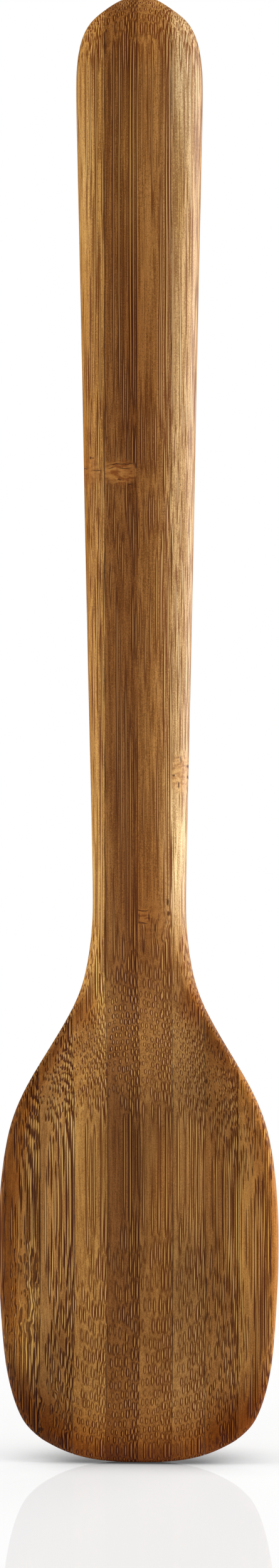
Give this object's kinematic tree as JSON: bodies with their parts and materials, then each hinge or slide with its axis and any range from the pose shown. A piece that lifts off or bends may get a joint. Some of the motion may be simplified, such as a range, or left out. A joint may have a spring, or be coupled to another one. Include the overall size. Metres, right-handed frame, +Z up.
{
  "type": "cooking spoon",
  "caption": "Laminated bamboo cooking spoon with a wide oval bowl, a narrow neck and a thick handle that widens to a rounded end.",
  "frame": {"origin": "the middle of the bounding box's base, at the height of the bowl's tip", "axes": "+Z runs up from the bowl's tip along the handle; the bowl's hollow faces -Y; +X is to the right as one looks into the hollow"},
  "size_m": [0.0592, 0.02, 0.31],
  "materials": {
    "bamboo_left_5": "oiled bamboo, golden, fine dark fibre bundles",
    "bamboo_left_4": "oiled bamboo, brown, dense dark fibre bundles",
    "bamboo_left_3": "oiled bamboo, mid brown, dark fibre bundles",
    "bamboo_left_2": "oiled bamboo, golden brown, dark fibre bundles",
    "bamboo_left_1": "oiled bamboo, darkest brown, dark fibre bundles",
    "bamboo_right_1": "oiled bamboo, mid brown, reddish fibre bundles",
    "bamboo_right_2": "oiled bamboo, light tan, dark fibre bundles",
    "bamboo_right_3": "oiled bamboo, mid brown, dark fibre bundles",
    "bamboo_right_4": "oiled bamboo, golden brown, dark fibre bundles",
    "bamboo_right_5": "oiled bamboo, golden, fine dark fibre bundles",
    "glue": "cured dark brown wood glue"
  },
  "bodies": {
    "root": {"bamboo_strip_left_5": "bamboo_left_5", "bamboo_strip_left_4": "bamboo_left_4", "bamboo_strip_left_3": "bamboo_left_3", "bamboo_strip_left_2": "bamboo_left_2", "bamboo_strip_left_1": "bamboo_left_1", "bamboo_strip_right_1": "bamboo_right_1", "bamboo_strip_right_2": "bamboo_right_2", "bamboo_strip_right_3": "bamboo_right_3", "bamboo_strip_right_4": "bamboo_right_4", "bamboo_strip_right_5": "bamboo_right_5", "glue_line_left_4": "glue", "glue_line_left_3": "glue", "glue_line_left_2": "glue", "glue_line_left_1": "glue", "glue_line_middle": "glue", "glue_line_right_1": "glue", "glue_line_right_2": "glue", "glue_line_right_3": "glue", "glue_line_right_4": "glue"}
  },
  "joints": []
}
